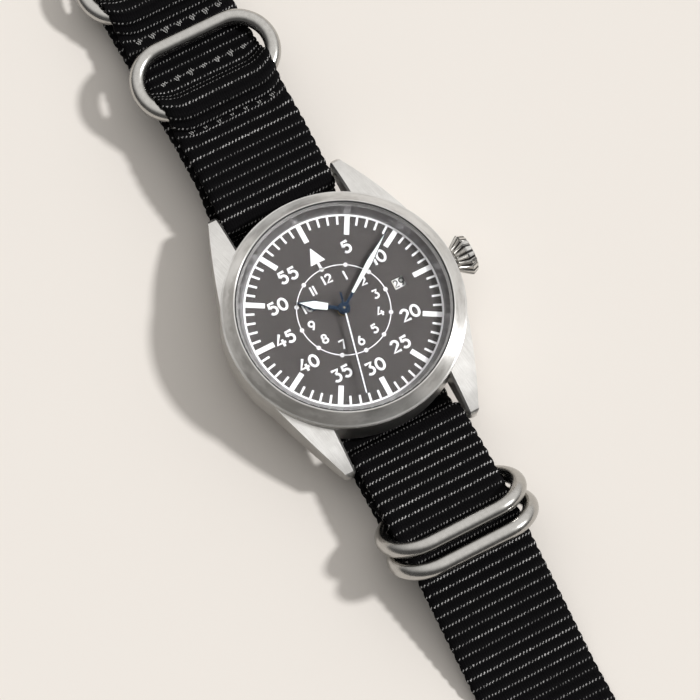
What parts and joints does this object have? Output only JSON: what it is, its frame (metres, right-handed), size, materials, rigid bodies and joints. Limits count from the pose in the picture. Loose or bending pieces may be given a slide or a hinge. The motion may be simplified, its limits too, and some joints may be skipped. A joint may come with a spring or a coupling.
{
  "type": "wristwatch",
  "caption": "Round steel field watch with lugs, fluted crown, dark dial with sweep seconds and date, on an opened ribbed pass-through strap with oval wire rings and a tongue buckle.",
  "frame": {"origin": "on the dial's axis, in the plane of the surface that the opened strap lies on", "axes": "+X towards the crown at 3 o'clock, +Y towards 12 o'clock and the buckle, +Z out of the dial"},
  "size_m": [0.0423, 0.2828, 0.013],
  "materials": {
    "case_steel": "brushed, satin",
    "polished_steel": "polished",
    "satin_steel": "bead blasted, satin",
    "movement_steel": "ground",
    "gilt_brass": "gilt, satin",
    "plated_brass": "rhodium plated, satin",
    "blued_steel": "blued, satin",
    "crystal": "polished, clear",
    "dial_black": "matt paint with white print",
    "date_white": "matt paint",
    "holder_plastic": "moulded, matt",
    "rubber": "moulded, matt",
    "jewel": "polished synthetic ruby",
    "webbing": "ribbed nylon webbing, black"
  },
  "bodies": {
    "case": {"case_middle": "case_steel", "bezel": "case_steel", "crystal": "crystal", "crystal_gasket": "rubber", "inner_ring": "polished_steel", "dial": "dial_black", "movement_holder": "holder_plastic", "case_back": "case_steel", "case_back_gasket": "rubber", "crown_tube": "polished_steel", "main_plate": "plated_brass", "train_bridge": "plated_brass", "balance_cock": "plated_brass", "jewel_bearings": "jewel", "bridge_screws": "blued_steel", "calendar_plate": "plated_brass", "rotor_bearing": "movement_steel", "spring_bar_tubes": "satin_steel", "spring_bar_springs": "movement_steel", "main_strap": "webbing", "under_strap": "webbing"},
    "crown_seal": {"crown_gasket": "rubber"},
    "crown_and_stem": {"crown": "case_steel", "winding_stem": "movement_steel"},
    "winding_pinion_body": {"winding_pinion": "movement_steel"},
    "sliding_pinion_body": {"sliding_pinion": "movement_steel"},
    "crown_wheel_body": {"crown_wheel": "movement_steel"},
    "ratchet_body": {"ratchet_wheel": "movement_steel", "barrel_arbor": "movement_steel"},
    "barrel_body": {"mainspring_barrel": "gilt_brass", "mainspring": "blued_steel"},
    "seconds_body": {"seconds_hand": "blued_steel", "fourth_wheel": "gilt_brass"},
    "third_body": {"third_wheel": "gilt_brass"},
    "centre_body": {"centre_wheel": "gilt_brass"},
    "escape_body": {"escape_wheel": "movement_steel"},
    "fork_body": {"pallet_fork": "movement_steel"},
    "balance_body": {"balance_wheel": "gilt_brass", "hairspring": "blued_steel"},
    "minute_body": {"minute_hand": "blued_steel", "cannon_pinion": "movement_steel"},
    "minute_wheel_body": {"minute_wheel": "gilt_brass"},
    "hour_body": {"hour_hand": "blued_steel", "hour_wheel": "gilt_brass"},
    "date_body": {"date_ring": "date_white"},
    "rotor_body": {"rotor": "plated_brass"},
    "keeper_outer_body": {"keeper_ring_outer": "satin_steel"},
    "keeper_inner_body": {"keeper_ring_inner": "satin_steel"},
    "loop_inner_body": {"loop_ring_inner": "satin_steel"},
    "loop_outer_body": {"loop_ring_outer": "satin_steel"},
    "buckle_body": {"buckle_frame": "satin_steel"},
    "tongue_body": {"buckle_tongue": "satin_steel"},
    "plunger_12_right_body": {"plunger_12_right": "satin_steel"},
    "plunger_12_left_body": {"plunger_12_left": "satin_steel"},
    "plunger_6_right_body": {"plunger_6_right": "satin_steel"},
    "plunger_6_left_body": {"plunger_6_left": "satin_steel"}
  },
  "joints": [
    {"name": "crown_pull", "type": "slide", "parent": "case", "child": "crown_seal", "axis": [1, 0, 0], "range_m": [0, 0.0015]},
    {"name": "crown_spin", "type": "hinge", "parent": "crown_seal", "child": "crown_and_stem", "pos_m": [0.01995, 0, 0.0074], "axis": [1, 0, 0], "continuous": true},
    {"name": "winding_pinion_spin", "type": "hinge", "parent": "case", "child": "winding_pinion_body", "pos_m": [0.0071, 0, 0.0074], "axis": [1, 0, 0], "continuous": true},
    {"name": "sliding_pinion_spin", "type": "hinge", "parent": "case", "child": "sliding_pinion_body", "pos_m": [0.0087, 0, 0.0074], "axis": [1, 0, 0], "continuous": true},
    {"name": "crown_wheel_spin", "type": "hinge", "parent": "case", "child": "crown_wheel_body", "pos_m": [0.00515, 0, 0.0053], "axis": [0, 0, 1], "continuous": true},
    {"name": "ratchet_spin", "type": "hinge", "parent": "case", "child": "ratchet_body", "pos_m": [0.0027, 0.00468, 0.0053], "axis": [0, 0, 1], "continuous": true},
    {"name": "seconds_spin", "type": "hinge", "parent": "case", "child": "seconds_body", "pos_m": [0, 0, 0.0081], "axis": [0, 0, 1], "continuous": true},
    {"name": "third_spin", "type": "hinge", "parent": "case", "child": "third_body", "pos_m": [-0.00331, 0.00191, 0.0081], "axis": [0, 0, 1], "continuous": true},
    {"name": "centre_spin", "type": "hinge", "parent": "case", "child": "centre_body", "pos_m": [0, 0, 0.0081], "axis": [0, 0, 1], "continuous": true},
    {"name": "barrel_spin", "type": "hinge", "parent": "case", "child": "barrel_body", "pos_m": [0.0027, 0.00468, 0.0081], "axis": [0, 0, 1], "continuous": true},
    {"name": "escape_spin", "type": "hinge", "parent": "case", "child": "escape_body", "pos_m": [-0.00176, -0.00305, 0.0081], "axis": [0, 0, 1], "continuous": true},
    {"name": "fork_swing", "type": "hinge", "parent": "case", "child": "fork_body", "pos_m": [0.00076, -0.00406, 0.0081], "axis": [0, 0, 1], "range_deg": [-4, 4]},
    {"name": "balance_swing", "type": "hinge", "parent": "case", "child": "balance_body", "pos_m": [0.0046, -0.0056, 0.0081], "axis": [0, 0, 1], "range_deg": [-270, 270]},
    {"name": "minute_spin", "type": "hinge", "parent": "case", "child": "minute_body", "pos_m": [0, 0, 0.0091], "axis": [0, 0, 1], "continuous": true},
    {"name": "minute_wheel_spin", "type": "hinge", "parent": "case", "child": "minute_wheel_body", "pos_m": [-0.0026, 0.0015, 0.0091], "axis": [0, 0, 1], "continuous": true},
    {"name": "hour_spin", "type": "hinge", "parent": "case", "child": "hour_body", "pos_m": [0, 0, 0.0091], "axis": [0, 0, 1], "continuous": true},
    {"name": "date_spin", "type": "hinge", "parent": "case", "child": "date_body", "pos_m": [0, 0, 0.0091], "axis": [0, 0, 1], "continuous": true},
    {"name": "rotor_spin", "type": "hinge", "parent": "case", "child": "rotor_body", "pos_m": [0, 0, 0.0053], "axis": [0, 0, 1], "continuous": true},
    {"name": "keeper_outer_swing", "type": "hinge", "parent": "case", "child": "keeper_outer_body", "pos_m": [0, 0.06089, 0.00498], "axis": [1, 0, 0], "range_deg": [0, 125]},
    {"name": "keeper_inner_swing", "type": "hinge", "parent": "case", "child": "keeper_inner_body", "pos_m": [0, 0.04114, 0.00789], "axis": [1, 0, 0], "range_deg": [0, 145]},
    {"name": "loop_inner_swing", "type": "hinge", "parent": "case", "child": "loop_inner_body", "pos_m": [0, -0.0319, 0.0027], "axis": [-1, 0, 0], "range_deg": [0, 80]},
    {"name": "loop_outer_swing", "type": "hinge", "parent": "case", "child": "loop_outer_body", "pos_m": [0, -0.0358, 0.0027], "axis": [-1, 0, 0], "range_deg": [0, 80]},
    {"name": "buckle_swing", "type": "hinge", "parent": "case", "child": "buckle_body", "pos_m": [0, 0.08, 0.0027], "axis": [1, 0, 0], "range_deg": [0, 105]},
    {"name": "tongue_swing", "type": "hinge", "parent": "buckle_body", "child": "tongue_body", "pos_m": [0, 0.08, 0.0027], "axis": [1, 0, 0], "range_deg": [0, 45]},
    {"name": "plunger_12_right_press", "type": "slide", "parent": "case", "child": "plunger_12_right_body", "axis": [-1, 0, 0], "range_m": [0, 0.0009], "stiffness_N_per_m": 500, "springref_m": -0.002},
    {"name": "plunger_12_left_press", "type": "slide", "parent": "case", "child": "plunger_12_left_body", "axis": [1, 0, 0], "range_m": [0, 0.0009], "stiffness_N_per_m": 500, "springref_m": -0.002},
    {"name": "plunger_6_right_press", "type": "slide", "parent": "case", "child": "plunger_6_right_body", "axis": [-1, 0, 0], "range_m": [0, 0.0009], "stiffness_N_per_m": 500, "springref_m": -0.002},
    {"name": "plunger_6_left_press", "type": "slide", "parent": "case", "child": "plunger_6_left_body", "axis": [1, 0, 0], "range_m": [0, 0.0009], "stiffness_N_per_m": 500, "springref_m": -0.002}
  ],
  "couplings": [
    {"joint": "third_spin", "follows": "seconds_spin", "ratio": -0.13333},
    {"joint": "centre_spin", "follows": "seconds_spin", "ratio": 0.016667},
    {"joint": "barrel_spin", "follows": "seconds_spin", "ratio": -0.0020833},
    {"joint": "escape_spin", "follows": "seconds_spin", "ratio": -10},
    {"joint": "minute_wheel_spin", "follows": "minute_spin", "ratio": -0.33333},
    {"joint": "hour_spin", "follows": "minute_spin", "ratio": 0.083333},
    {"joint": "winding_pinion_spin", "follows": "crown_spin", "ratio": 1},
    {"joint": "sliding_pinion_spin", "follows": "crown_spin", "ratio": 1},
    {"joint": "crown_wheel_spin", "follows": "crown_spin", "ratio": 0.375},
    {"joint": "ratchet_spin", "follows": "crown_spin", "ratio": -0.3125},
    {"joint": "loop_outer_swing", "follows": "loop_inner_swing", "ratio": 1}
  ]
}
